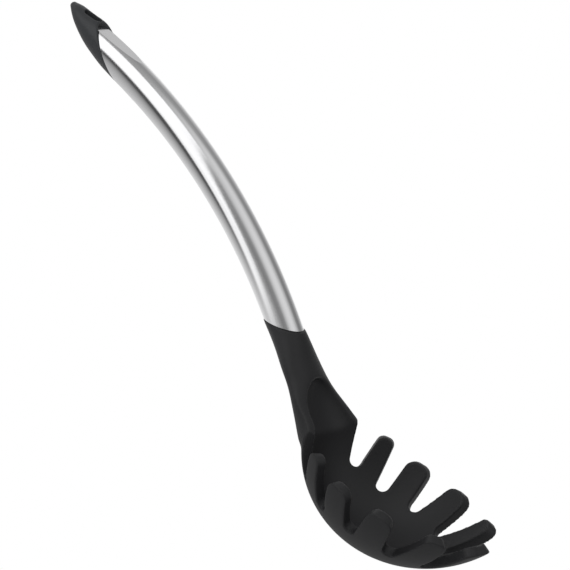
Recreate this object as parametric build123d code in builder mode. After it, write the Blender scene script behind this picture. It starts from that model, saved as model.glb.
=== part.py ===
from build123d import *
import os
from math import cos, degrees, radians, sin, sqrt, tan

# A pasta server: a toothed bowl moulded in one piece with its neck, a bent tube for a handle
# and an end cap with a hanging slot. The head and the cap each have a spigot that goes into
# the tube, with a groove round it that holds the adhesive.
# Millimetres and degrees. It lies on a table, bowl up: X runs from the cap to the bowl, Y is
# across and Z is up. The origin is on the table, under the middle of the object.

# Handle tube. Places along the handle are measured on its centreline, from its head end.
handle_radius = 283.5
tube_diameter = 15.8
tube_wall = 0.8
tube_length = 153.7
head_cut_lean = 40.2
cap_cut_lean = 57.0
facet_length = 23.0
facet_dip = 5.4

# Round tongue in which the flattened front ends, under the cap's brim
tongue_width = 8.2
tongue_reach = 3.2

# Spigots and the adhesive that holds them
spigot_length = 30.0
plug_length = 30.0
spigot_fit = 0.1
glue_depth = 0.6
glue_fit = 0.05
glue_land = 4.0
seam = 0.3

# Neck: half width, level of its widest line, height above and depth below that line, each at
# a distance from the tube's end.
neck_length = 57.0
neck_width = 43.0
neck_height = 24.0
neck_place_shares = (0.0, 0.21, 0.35, 0.49, 0.68, 0.825, 0.91, 1.0)
neck_width_shares = (0.0, 0.13, 0.26, 0.37, 0.64, 0.77, 0.90, 1.0)
neck_level_shares = (0.0, 0.03, 0.04, 0.06, 0.16, 0.26, 0.29, 0.31)
neck_up_shares = (0.33, 0.32, 0.30, 0.285, 0.14, 0.09, 0.075, 0.075)
neck_down_shares = (0.33, 0.31, 0.29, 0.27, 0.40, 0.585, 0.63, 0.60)

# Bowl: the lower end of a long ellipsoid, cut off at the rim. Its frame has its origin in the
# rim's plane, with X forward along the rim and Z out of the bowl.
rim_reach = 81.1
rim_height = 25.1
rim_slope = 39.2
bowl_wall = 5.2
bowl_depth_radius = 64.6
bowl_length_radius = 54.5
bowl_width_radius = 40.7
bowl_centre_forward = 14.8
bowl_centre_up = 22.8
bowl_lean = 46.1

# Channel that runs from the bowl up into the neck
channel_place = 53.4
channel_level = 8.5
channel_length_radius = 24.0
channel_width_radius = 15.0
channel_depth_radius = 8.5
channel_slope = 3.0

# Rounding where the channel runs out into the bowl, round its brim, and under the neck's end
channel_foot_round = 6.0
channel_brim_round = 1.2
neck_foot_round = 8.0

# Gaps between the teeth, from the front one back, each cut on both sides and square to the
# wall: the turn of its bottom seen from above the rim, the opening angle of each of its sides,
# how far it leans forward and the depth of its bottom under the rim.
gap_turns = (11.5, 34.6, 69.5, 113.2, 145.5)
gap_flares = (8.0, 13.0, 10.9, 5.4, 11.0)
gap_leans = (8.0, 14.0, 7.9, 2.9, 3.5)
gap_depth = 19.0
gap_depth_shares = (1.0, 1.01, 0.995, 0.99, 0.74)
gap_radius = 3.2

# Tooth tips, from the front one back, each cut square to the wall: its height over the rim as a
# share of the gaps' depth, and the rounding of its corners as a share of its half width
tip_height_shares = (-0.08, 0.025, -0.03, -0.047, 0.12)
tip_round_shares = (0.6, 0.85, 0.85, 0.85, 0.9)

# End cap: places along the handle past the tube's end, and half sizes and rise of the oval
cap_length = 31.9
cap_width_shares = (1.0, 1.0, 1.0, 1.0, 1.0, 1.0, 0.98, 0.96, 0.88, 0.75, 0.54, 0.25)
cap_height_shares = (1.0, 1.0, 1.0, 1.0, 1.0, 1.0, 0.93, 0.87, 0.7, 0.52, 0.34, 0.16)
cap_rise_shares = (0.0, 0.0, 0.0, 0.01, 0.03, 0.09, 0.18, 0.32, 0.45, 0.61, 0.79, 0.92)
cap_place_shares = (-0.6, -0.47, -0.36, -0.26, -0.15, 0.03, 0.23, 0.41, 0.58, 0.73, 0.86, 0.965)
hang_slot_length = 9.8
hang_slot_width = 4.8
hang_slot_end = 8.5

# Turn about Y that lays the bowl's underside and the cap's back on the table
lie_angle = 9.44

# One length by which every cut runs past what it cuts, and how close two places are to be one
overrun = 10.0
near = 0.01

tube_radius = tube_diameter / 2
bore_radius = tube_radius - tube_wall
spigot_radius = bore_radius - spigot_fit
groove_radius = spigot_radius - glue_depth
handle_axis = Axis((0, 0, -handle_radius), (0, -1, 0))


def arc_angle(place):
    """Turn of the handle's arc, in degrees, at a place along its centreline"""
    return degrees(place / handle_radius)


def handle_plane(place):
    """Plane across the handle, its X across and its Y out of the arc, facing the head"""
    turn = radians(arc_angle(place))
    centre = (-handle_radius * sin(turn), 0, handle_radius * (cos(turn) - 1))
    return Plane(origin=centre, x_dir=(0, 1, 0), z_dir=(cos(turn), 0, sin(turn)))


def oval(plane, across, up, down, level):
    """Face of two half ellipses that share their widest line, at a level above the plane's X"""
    with BuildSketch(plane) as face:
        with BuildLine():
            EllipticalCenterArc((0, level), across, up, start_angle=0, arc_size=180)
            EllipticalCenterArc((0, level), across, down, start_angle=180, arc_size=180)
        make_face()
    return face.sketch


head_cut = handle_plane(0).rotated((0, head_cut_lean, 0))
cap_cut = handle_plane(tube_length).rotated((0, -cap_cut_lean, 0))
facet_start = tube_length + tube_radius - facet_length
facet_plane = handle_plane(facet_start)
facet_top = facet_plane.origin + facet_plane.y_dir * tube_radius
facet_cut = Plane(origin=facet_top, x_dir=facet_plane.x_dir, z_dir=facet_plane.y_dir)
facet_cut = facet_cut.rotated((0, -facet_dip, 0))

# Frame of the rim
rim = Plane(
    origin=(rim_reach, 0, rim_height),
    x_dir=(cos(radians(rim_slope)), 0, sin(radians(rim_slope))),
    z_dir=(-sin(radians(rim_slope)), 0, cos(radians(rim_slope))),
)


def handle_rod(radius, start, end):
    """Round rod along the handle's arc, between two places on its centreline"""
    with BuildPart() as rod:
        with BuildSketch(handle_plane(start)):
            Circle(radius)
        revolve(axis=handle_axis, revolution_arc=arc_angle(end - start))
    return rod.part


def tongue(fit, top, bottom):
    """Round end of the flattened front, larger by fit, between two levels over the facet"""
    run = (cap_cut.origin - facet_cut.origin).dot(cap_cut.z_dir) / facet_cut.y_dir.dot(cap_cut.z_dir)
    with BuildPart() as plate:
        with BuildSketch(facet_cut.offset(bottom)):
            with Locations((0, run)):
                Ellipse(tongue_width / 2 + fit, tongue_reach + fit)
        extrude(amount=top - bottom)
    return plate.part


# Handle tube, flattened on its front near the cap
with BuildPart() as tube_bore:
    add(handle_rod(bore_radius, -overrun, tube_length + facet_length))
    split(bisect_by=facet_cut.offset(-tube_wall), keep=Keep.BOTTOM)

with BuildPart() as handle_tube:
    add(handle_rod(tube_radius, -overrun, tube_length + facet_length))
    split(bisect_by=facet_cut, keep=Keep.BOTTOM)
    add(tube_bore.part, mode=Mode.SUBTRACT)
    split(bisect_by=head_cut, keep=Keep.BOTTOM)
    split(bisect_by=cap_cut, keep=Keep.TOP)
    add(tongue(0, 0, -tube_wall))


def bowl_ellipsoid(shrink):
    """Whole ellipsoid of the bowl in the rim's frame, smaller all round by shrink"""
    sizes = (bowl_length_radius - shrink, bowl_width_radius - shrink, bowl_depth_radius - shrink)
    centre = Location((bowl_centre_forward, 0, bowl_centre_up), (0, bowl_lean, 0))
    with BuildPart() as whole:
        Sphere(radius=1)
        scale(by=sizes)
    return whole.part.moved(rim.location * centre)


def bowl_reach(turn, depth):
    """Distance from the rim's middle out to the bowl's inner face, along a turn, at a depth"""
    lean = radians(bowl_lean)
    out = (cos(radians(turn)), sin(radians(turn)))
    start = (-bowl_centre_forward, -bowl_centre_up - depth)
    sizes = (bowl_length_radius - bowl_wall, bowl_width_radius - bowl_wall, bowl_depth_radius - bowl_wall)
    run = (out[0] * cos(lean) / sizes[0], out[1] / sizes[1], out[0] * sin(lean) / sizes[2])
    first = (start[0] * cos(lean) - start[1] * sin(lean)) / sizes[0]
    last = (start[0] * sin(lean) + start[1] * cos(lean)) / sizes[2]
    square = run[0] ** 2 + run[1] ** 2 + run[2] ** 2
    cross = run[0] * first + run[2] * last
    return (sqrt(cross**2 - square * (first**2 + last**2 - 1)) - cross) / square


def wall_normal(point):
    """Direction straight out of the bowl's inner face, in the rim's frame"""
    lean = radians(bowl_lean)
    start = (point.X - bowl_centre_forward, point.Z - bowl_centre_up)
    first = (start[0] * cos(lean) - start[1] * sin(lean)) / (bowl_length_radius - bowl_wall) ** 2
    second = point.Y / (bowl_width_radius - bowl_wall) ** 2
    last = (start[0] * sin(lean) + start[1] * cos(lean)) / (bowl_depth_radius - bowl_wall) ** 2
    steep = Vector(first * cos(lean) + last * sin(lean), second, last * cos(lean) - first * sin(lean))
    return steep.normalized()


def wall_plane(turn, depth):
    """Plane that touches the bowl's inner face at a turn and a depth, its Z straight out"""
    reach = bowl_reach(turn, depth)
    spot = Vector(reach * cos(radians(turn)), reach * sin(radians(turn)), -depth)
    normal = wall_normal(spot)
    return Plane(origin=spot, x_dir=Vector(-normal.Y, normal.X, 0), z_dir=normal)


def gap_outline(turn, side, depth, flare, lean):
    """Outline of a gap on the bowl's inner face, round at the bottom and open at the top"""
    face = wall_plane(side * turn, depth)
    foot = (gap_radius * cos(flare), -gap_radius * sin(flare))
    rise = 2 * (gap_depth + overrun)
    top = (foot[0] + rise * sin(flare), foot[1] + rise * cos(flare))
    with BuildSketch(Plane(rim.location * face.location * Rotation(0, 0, side * lean))) as outline:
        with Locations((0, gap_radius)):
            Circle(gap_radius)
            Polygon((-foot[0], foot[1]), foot, top, (-top[0], top[1]), align=None)
    return outline.sketch


with BuildPart() as gaps:
    for turn, flare, lean, share in zip(gap_turns, gap_flares, gap_leans, gap_depth_shares):
        for side in (1, -1):
            outline = gap_outline(turn, side, gap_depth * share, radians(flare), lean)
            extrude(outline, amount=bowl_wall + overrun, both=True)


def tip_plane(turn, height):
    """Plane square to the bowl's wall at a turn and a height over the rim, its Z up the tooth"""
    face = wall_plane(turn, -height)
    return Plane(rim.location * Plane(origin=face.origin, x_dir=face.x_dir, z_dir=face.y_dir).location)


def tip_side(plane, turn):
    """Place across a tip's plane of the rim at a turn"""
    return plane.to_local_coords(rim.from_local_coords(wall_plane(turn, 0).origin)).X


# All gaps from one side round to the other, with a tooth between each two
all_turns = [-turn for turn in gap_turns[::-1]] + list(gap_turns)
height_shares = tip_height_shares[:0:-1] + tip_height_shares
round_shares = tip_round_shares[:0:-1] + tip_round_shares
tips = []
for low, high, share in zip(all_turns, all_turns[1:], height_shares):
    tips.append(tip_plane((low + high) / 2, gap_depth * share))

# What is cut away over the tips, and behind the rearmost gaps over the rim
with BuildPart() as over_tips:
    for low, high, plane in zip(all_turns, all_turns[1:], tips):
        sides = (tip_side(plane, low), tip_side(plane, high))
        with BuildSketch(plane):
            with Locations(((sides[0] + sides[1]) / 2, 0)):
                Rectangle(sides[1] - sides[0], 2 * (bowl_wall + overrun))
        extrude(amount=gap_depth)

with BuildPart() as over_shoulders:
    with BuildSketch(rim):
        with Locations((wall_plane(gap_turns[-1], 0).origin.X, 0)):
            Rectangle(2 * bowl_length_radius, 2 * bowl_width_radius, align=(Align.MAX, Align.CENTER))
    extrude(amount=gap_depth)


def neck_station(share):
    """Plane across the neck at a share of its length"""
    return Plane(origin=(neck_length * share, 0, 0), x_dir=(0, 1, 0), z_dir=(1, 0, 0))


def tip_corners(body, plane):
    """The two straight edges in a tip's plane that cross the wall of that tooth"""
    corners = body.edges().filter_by(GeomType.LINE)
    corners = corners.filter_by(lambda edge: abs(plane.to_local_coords(edge.center()).Z) < near)
    corners = corners.filter_by(lambda edge: bowl_wall / 2 < edge.length < 2 * bowl_wall)
    return corners.sort_by_distance(plane.origin)[:2]


def spigot(start, groove_start, groove_end, end):
    """Round spigot along the handle's arc, with a groove round it for the adhesive"""
    with BuildPart() as body:
        add(handle_rod(groove_radius, start, end))
        add(handle_rod(spigot_radius, start, groove_start))
        add(handle_rod(spigot_radius, groove_end, end))
    return body.part


def adhesive(start, end):
    """Sleeve of adhesive that fills a groove and bears on the tube's bore"""
    with BuildPart() as sleeve:
        add(handle_rod(bore_radius - glue_fit, start + glue_fit, end - glue_fit))
        add(handle_rod(groove_radius + glue_fit, start, end), mode=Mode.SUBTRACT)
    return sleeve.part


# Places of the two grooves: the spigots' bare lands end where the slanted tube ends begin
head_groove = (
    tube_radius * tan(radians(head_cut_lean)) + glue_land,
    spigot_length - glue_land,
)
cap_groove = (
    tube_length - plug_length + glue_land,
    tube_length - tube_radius * tan(radians(cap_cut_lean)) - glue_land,
)

def middle_edge(body, x, z):
    """Edge that crosses the head's middle plane nearest to a place in that plane"""
    crossing = body.edges().filter_by(lambda edge: abs(edge.center().Y) < near)
    return crossing.sort_by_distance((x, 0, z))[0]


# Head: spigot, neck and bowl in one moulding
neck_faces = [
    oval(handle_plane(tube_diameter), tube_radius, tube_radius, tube_radius, 0),
    oval(handle_plane(tube_radius), tube_radius, tube_radius, tube_radius, 0),
]
for place, wide, level, up, down in zip(
    neck_place_shares, neck_width_shares, neck_level_shares, neck_up_shares, neck_down_shares
):
    neck_faces.append(
        oval(
            neck_station(place),
            tube_radius + (neck_width / 2 - tube_radius) * wide,
            neck_height * up,
            neck_height * down,
            neck_height * level,
        )
    )

with BuildPart() as neck:
    loft(neck_faces)
    split(bisect_by=head_cut.offset(seam), keep=Keep.TOP)

with BuildPart() as channel:
    Sphere(radius=1)
    scale(by=(channel_length_radius, channel_width_radius, channel_depth_radius))

channel_place_in_head = Location((channel_place, 0, channel_level), (0, -channel_slope, 0))

with BuildPart() as head:
    add(bowl_ellipsoid(0))
    split(bisect_by=rim.offset(gap_depth / 2), keep=Keep.BOTTOM)
    add(over_tips.part, mode=Mode.SUBTRACT)
    add(over_shoulders.part, mode=Mode.SUBTRACT)
    add(neck.part)
    add(bowl_ellipsoid(bowl_wall), mode=Mode.SUBTRACT)
    add(channel.part.moved(channel_place_in_head), mode=Mode.SUBTRACT)
    neck_foot = neck_height * (neck_level_shares[-1] - neck_down_shares[-1])
    fillet(middle_edge(head, neck_length, neck_foot), radius=neck_foot_round)
    channel_foot = channel_level - channel_depth_radius
    fillet(middle_edge(head, channel_place, channel_foot), radius=channel_foot_round)
    channel_top = channel_place - channel_length_radius
    fillet(middle_edge(head, channel_top, channel_level), radius=channel_brim_round)
    add(gaps.part, mode=Mode.SUBTRACT)
    for plane, share in zip(tips, round_shares):
        corners = tip_corners(head, plane)
        tip_width = (corners[0].center() - corners[1].center()).length
        fillet(corners, radius=tip_width / 2 * share)
    add(spigot(-tube_diameter, *head_groove, spigot_length))

# End cap: plug and hanging loop in one moulding
cap_faces = []
for place, wide, high, rise in zip(
    cap_place_shares, cap_width_shares, cap_height_shares, cap_rise_shares
):
    cap_faces.append(
        oval(
            handle_plane(tube_length + cap_length * place),
            tube_radius * wide,
            tube_radius * high,
            tube_radius * high,
            tube_radius * rise,
        )
    )

slot_place = tube_length + cap_length - hang_slot_end - hang_slot_length / 2
slot_face = handle_plane(slot_place)
with BuildPart() as hang_slot:
    with BuildSketch(Plane(origin=slot_face.origin, x_dir=slot_face.z_dir, z_dir=slot_face.y_dir)):
        SlotOverall(hang_slot_length, hang_slot_width)
    extrude(amount=tube_radius + overrun, both=True)

with BuildPart() as plug:
    add(spigot(tube_length - plug_length, *cap_groove, tube_length + tube_diameter))
    split(bisect_by=facet_cut.offset(-tube_wall - spigot_fit), keep=Keep.BOTTOM)
    split(bisect_by=cap_cut.offset(-seam - glue_land), keep=Keep.TOP)

with BuildPart() as end_cap:
    loft(cap_faces)
    split(bisect_by=cap_cut.offset(-seam), keep=Keep.BOTTOM)
    add(tongue(seam, overrun, -tube_wall - spigot_fit), mode=Mode.SUBTRACT)
    add(hang_slot.part, mode=Mode.SUBTRACT)
    add(plug.part)

head_bond = adhesive(*head_groove)
cap_bond = adhesive(*cap_groove)

# Lay the whole object on the table, with the origin under its middle
lie = Rotation(0, lie_angle, 0)
whole = Compound([head.part, head_bond, handle_tube.part, cap_bond, end_cap.part])
box = whole.moved(lie).bounding_box()
at_rest = Location((-box.center().X, -box.center().Y, -box.min.Z)) * lie

head_at_rest = head.part.moved(at_rest)
head_bond_at_rest = head_bond.moved(at_rest)
handle_tube_at_rest = handle_tube.part.moved(at_rest)
cap_bond_at_rest = cap_bond.moved(at_rest)
end_cap_at_rest = end_cap.part.moved(at_rest)

head_at_rest.label = "head"
head_bond_at_rest.label = "head_bond"
handle_tube_at_rest.label = "handle_tube"
cap_bond_at_rest.label = "cap_bond"
end_cap_at_rest.label = "end_cap"

os.makedirs("parts", exist_ok=True)
export_step(head_at_rest, "parts/head.step")
export_step(head_bond_at_rest, "parts/head_bond.step")
export_step(handle_tube_at_rest, "parts/handle_tube.step")
export_step(cap_bond_at_rest, "parts/cap_bond.step")
export_step(end_cap_at_rest, "parts/end_cap.step")
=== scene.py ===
import math
import bpy
from mathutils import Matrix, Vector

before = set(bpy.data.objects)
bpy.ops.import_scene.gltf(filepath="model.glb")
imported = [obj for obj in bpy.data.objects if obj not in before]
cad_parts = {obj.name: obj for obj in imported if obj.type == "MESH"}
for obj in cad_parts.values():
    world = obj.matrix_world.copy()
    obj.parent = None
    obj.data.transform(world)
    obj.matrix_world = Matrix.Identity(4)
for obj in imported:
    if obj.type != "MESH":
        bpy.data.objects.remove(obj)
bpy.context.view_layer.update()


scene = bpy.context.scene


def material(name):
    mat = bpy.data.materials.new(name)
    mat.use_nodes = True
    nodes = mat.node_tree.nodes
    return mat, nodes, mat.node_tree.links, nodes["Principled BSDF"]


def node(nodes, kind, **inputs):
    made = nodes.new(kind)
    for key, value in inputs.items():
        made.inputs[key].default_value = value
    return made


# Materials
def moulded_plastic(name, colour, roughness, grain, depth):
    mat, nodes, links, shader = material(name)
    place = nodes.new("ShaderNodeTexCoord")
    noise = node(nodes, "ShaderNodeTexNoise", Scale=grain, Detail=3.0, Roughness=0.6)
    links.new(place.outputs["Object"], noise.inputs["Vector"])
    bump = node(nodes, "ShaderNodeBump", Strength=0.35, Distance=depth)
    links.new(noise.outputs["Fac"], bump.inputs["Height"])
    links.new(bump.outputs["Normal"], shader.inputs["Normal"])
    shader.inputs["Base Color"].default_value = colour
    shader.inputs["Roughness"].default_value = roughness
    shader.inputs["Specular IOR Level"].default_value = 0.4
    return mat


def brushed_steel(name):
    """Satin steel: fine rings round the tube, a little uneven in gloss"""
    mat, nodes, links, shader = material(name)
    place = nodes.new("ShaderNodeTexCoord")
    rings = nodes.new("ShaderNodeMapping")
    rings.inputs["Scale"].default_value = (1.0, 0.04, 0.04)
    links.new(place.outputs["Object"], rings.inputs["Vector"])
    noise = node(nodes, "ShaderNodeTexNoise", Scale=1800.0, Detail=2.0, Roughness=0.5)
    links.new(rings.outputs["Vector"], noise.inputs["Vector"])
    bump = node(nodes, "ShaderNodeBump", Strength=0.12, Distance=0.00002)
    links.new(noise.outputs["Fac"], bump.inputs["Height"])
    links.new(bump.outputs["Normal"], shader.inputs["Normal"])
    gloss = nodes.new("ShaderNodeMapRange")
    gloss.inputs["To Min"].default_value = 0.13
    gloss.inputs["To Max"].default_value = 0.19
    links.new(noise.outputs["Fac"], gloss.inputs["Value"])
    links.new(gloss.outputs["Result"], shader.inputs["Roughness"])
    shader.inputs["Base Color"].default_value = (0.86, 0.86, 0.87, 1)
    shader.inputs["Metallic"].default_value = 1.0
    return mat


head_plastic = moulded_plastic("head_plastic", (0.013, 0.0132, 0.0145, 1), 0.52, 2600.0, 0.00006)
cap_plastic = moulded_plastic("cap_plastic", (0.036, 0.038, 0.041, 1), 0.42, 2600.0, 0.00004)
steel = brushed_steel("steel")
adhesive, _, _, adhesive_shader = material("adhesive")
adhesive_shader.inputs["Base Color"].default_value = (0.6, 0.5, 0.3, 1)

looks = {
    "head": head_plastic,
    "end_cap": cap_plastic,
    "handle_tube": steel,
    "head_bond": adhesive,
    "cap_bond": adhesive,
}

for name, look in looks.items():
    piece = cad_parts[name]
    piece.data.materials.clear()
    piece.data.materials.append(look)

# Moulded pieces: the real mould's edges are soft, so their meshes are rounded
def soften(piece, voxel, factor, rounds):
    grid = piece.modifiers.new("grid", "REMESH")
    grid.mode = "VOXEL"
    grid.voxel_size = voxel
    grid.use_smooth_shade = True
    smooth = piece.modifiers.new("soft edges", "SMOOTH")
    smooth.factor = factor
    smooth.iterations = rounds


soften(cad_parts["head"], 0.0005, 0.5, 8)
soften(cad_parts["end_cap"], 0.0003, 0.5, 5)

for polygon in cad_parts["handle_tube"].data.polygons:
    polygon.use_smooth = True
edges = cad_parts["handle_tube"].modifiers.new("sharp ends", "EDGE_SPLIT")
edges.split_angle = math.radians(24)

# Floor and backdrop
def blend(nodes, links, factor, low, high):
    """Plain number mix; low and high are numbers or sockets"""
    mix = nodes.new("ShaderNodeMix")
    links.new(factor, mix.inputs[0])
    for place, value in ((2, low), (3, high)):
        if isinstance(value, float):
            mix.inputs[place].default_value = value
        else:
            links.new(value, mix.inputs[place])
    return mix.outputs[0]


def along(nodes, links, place, way, start, end, low, high, easing="LINEAR"):
    """Number that goes from low to high between two distances along a direction"""
    dot = nodes.new("ShaderNodeVectorMath")
    dot.operation = "DOT_PRODUCT"
    dot.inputs[1].default_value = way
    links.new(place, dot.inputs[0])
    ramp = node(nodes, "ShaderNodeMapRange", **{
        "From Min": start, "From Max": end, "To Min": low, "To Max": high,
    })
    ramp.interpolation_type = easing
    links.new(dot.outputs["Value"], ramp.inputs["Value"])
    return ramp.outputs["Result"]


def seen(nodes, links):
    """1 for what the camera sees, straight or through glass"""
    ray = nodes.new("ShaderNodeLightPath")
    either = nodes.new("ShaderNodeMath")
    either.operation = "MAXIMUM"
    links.new(ray.outputs["Is Camera Ray"], either.inputs[0])
    links.new(ray.outputs["Is Transmission Ray"], either.inputs[1])
    return ray, either.outputs["Value"]


# The floor is white to the camera and plain to the light. Mirrored in the steel it glows in painted
# tones set by place, fitted to the bands in the photo: a painted shadow of the tube beside it, a
# painted white band beyond, painted grey to the right.
floor_size = 12
# Glow of the painted reflection bands and of the painted shadow beside the tube, as seen by glossy
# rays
painted_reflection_white, painted_reflection_grey = 1.06, 0.43
painted_shadow_dark, painted_shadow_pale = 0.08, 0.92

bpy.ops.mesh.primitive_plane_add(size=floor_size, location=(0, 0, 0))
floor = bpy.context.object
floor.name = "floor"
white, nodes, links, shader = material("white_floor")
shader.inputs["Base Color"].default_value = (0.8, 0.8, 0.8, 1)
shader.inputs["Roughness"].default_value = 0.9
place = nodes.new("ShaderNodeTexCoord").outputs["Object"]
# Painted shadow of the tube: the floor glows darker beside it, for glossy rays only
painted_tube_shadow = along(nodes, links, place, (0.08, 1, 0), -0.056, 0.01, painted_shadow_dark, painted_shadow_pale)
# Painted reflection bands: painted white beyond the shadow, fading to painted grey to the right
painted_band_tone = along(nodes, links, place, (1, -0.2, 0), 0.0, 0.04, painted_reflection_white, painted_reflection_grey)
# Edge where the painted shadow gives way to the painted reflection bands
painted_shadow_edge = along(nodes, links, place, (0.75, -1, 0), 0.017, 0.048, 0.0, 1.0, "SMOOTHSTEP")
ray, camera_ray = seen(nodes, links)
glow = node(nodes, "ShaderNodeEmission", Color=(1, 1, 1, 1))
# Painted reflection: glossy rays get the painted shadow and bands, the camera gets plain white
mirrored = blend(nodes, links, painted_shadow_edge, painted_tube_shadow, painted_band_tone)
links.new(blend(nodes, links, camera_ray, mirrored, 1.0), glow.inputs["Strength"])
# Camera and glossy rays see the glow, so the steel mirrors the painted shade and painted highlight
# bands
either = nodes.new("ShaderNodeMath")
either.operation = "MAXIMUM"
links.new(camera_ray, either.inputs[0])
links.new(ray.outputs["Is Glossy Ray"], either.inputs[1])
mix = nodes.new("ShaderNodeMixShader")
links.new(either.outputs["Value"], mix.inputs["Fac"])
links.new(shader.outputs["BSDF"], mix.inputs[1])
links.new(glow.outputs["Emission"], mix.inputs[2])
links.new(mix.outputs["Shader"], nodes["Material Output"].inputs["Surface"])
floor.data.materials.append(white)

# The studio: white behind, the light on the object mostly from its near side, and in the steel pale
# low down and overhead with a darker belt in between
world = bpy.data.worlds.new("studio")
scene.world = world
world.use_nodes = True
nodes = world.node_tree.nodes
links = world.node_tree.links
place = nodes.new("ShaderNodeTexCoord").outputs["Generated"]
height = along(nodes, links, place, (0, -0.1, 1), -0.1, 1.0, 0.0, 1.0)
room = nodes.new("ShaderNodeValToRGB")
links.new(height, room.inputs["Fac"])
# Height and tone of the four stops: pale low down, a darker belt, pale overhead
tones = ((0.0, 0.5), (0.6, 0.2), (0.8, 0.25), (1.0, 0.75))
for _ in range(len(tones) - 2):
    room.color_ramp.elements.new(0.5)
for stop, (step, tone) in zip(room.color_ramp.elements, tones):
    stop.position = step
    stop.color = (tone, tone, tone, 1)
ray, camera_ray = seen(nodes, links)
far_side = along(nodes, links, place, (-1, 0.3, 0), 0.2, 0.6, 1.0, 1.4)
mirrored = nodes.new("ShaderNodeMath")
mirrored.operation = "MULTIPLY"
links.new(room.outputs["Color"], mirrored.inputs[0])
links.new(far_side, mirrored.inputs[1])
near_side = along(nodes, links, place, (-0.4, -1, 0), -0.3, 1.0, 0.2, 1.7)
level = blend(nodes, links, ray.outputs["Is Glossy Ray"], near_side, mirrored.outputs["Value"])
links.new(blend(nodes, links, camera_ray, level, 1.0), nodes["Background"].inputs["Strength"])
nodes["Background"].inputs["Color"].default_value = (1, 1, 1, 1)

# Camera
camera = bpy.data.objects.new("camera", bpy.data.cameras.new("camera"))
scene.collection.objects.link(camera)
turn = Matrix((
    (0.452526, -0.873254, 0.180684),
    (0.561089, 0.121340, -0.818814),
    (0.693108, 0.471915, 0.544883),
))
camera.matrix_world = Matrix.Translation((0.555455, -2.487434, 1.690876)) @ turn.to_4x4()
camera.data.lens = 418.61
camera.data.sensor_width = 36
camera.data.clip_end = 50
scene.camera = camera
scene.view_settings.view_transform = "Standard"

# Studio: the soft box whose edge the steel reflects
def panel(name, middle, along_way, across_way, length, width, strength):
    """Flat card that glows: its middle, two directions in it, its size and its glow"""
    corners = []
    for end, side in ((-1, -1), (1, -1), (1, 1), (-1, 1)):
        corners.append(Vector(middle) + along_way * end * length / 2 + across_way * side * width / 2)
    mesh = bpy.data.meshes.new(name)
    mesh.from_pydata(corners, [], [(0, 1, 2, 3)])
    card = bpy.data.objects.new(name, mesh)
    scene.collection.objects.link(card)
    mat, nodes, links, _ = material(name)
    glow = node(nodes, "ShaderNodeEmission", Strength=strength)
    links.new(glow.outputs["Emission"], nodes["Material Output"].inputs["Surface"])
    mesh.materials.append(mat)


box_length, box_width, box_glow = 2.2, 1.0, 1.2
edge_middle = Vector((-0.360, -1.039, 0.489))
edge_way = Vector((-0.320, 0.492, 0.809)).normalized()
box_way = Vector((-0.899, 0.112, -0.424)).normalized()
box_middle = edge_middle + box_way * box_width / 2
panel("side_box", box_middle, edge_way, box_way, box_length, box_width, box_glow)
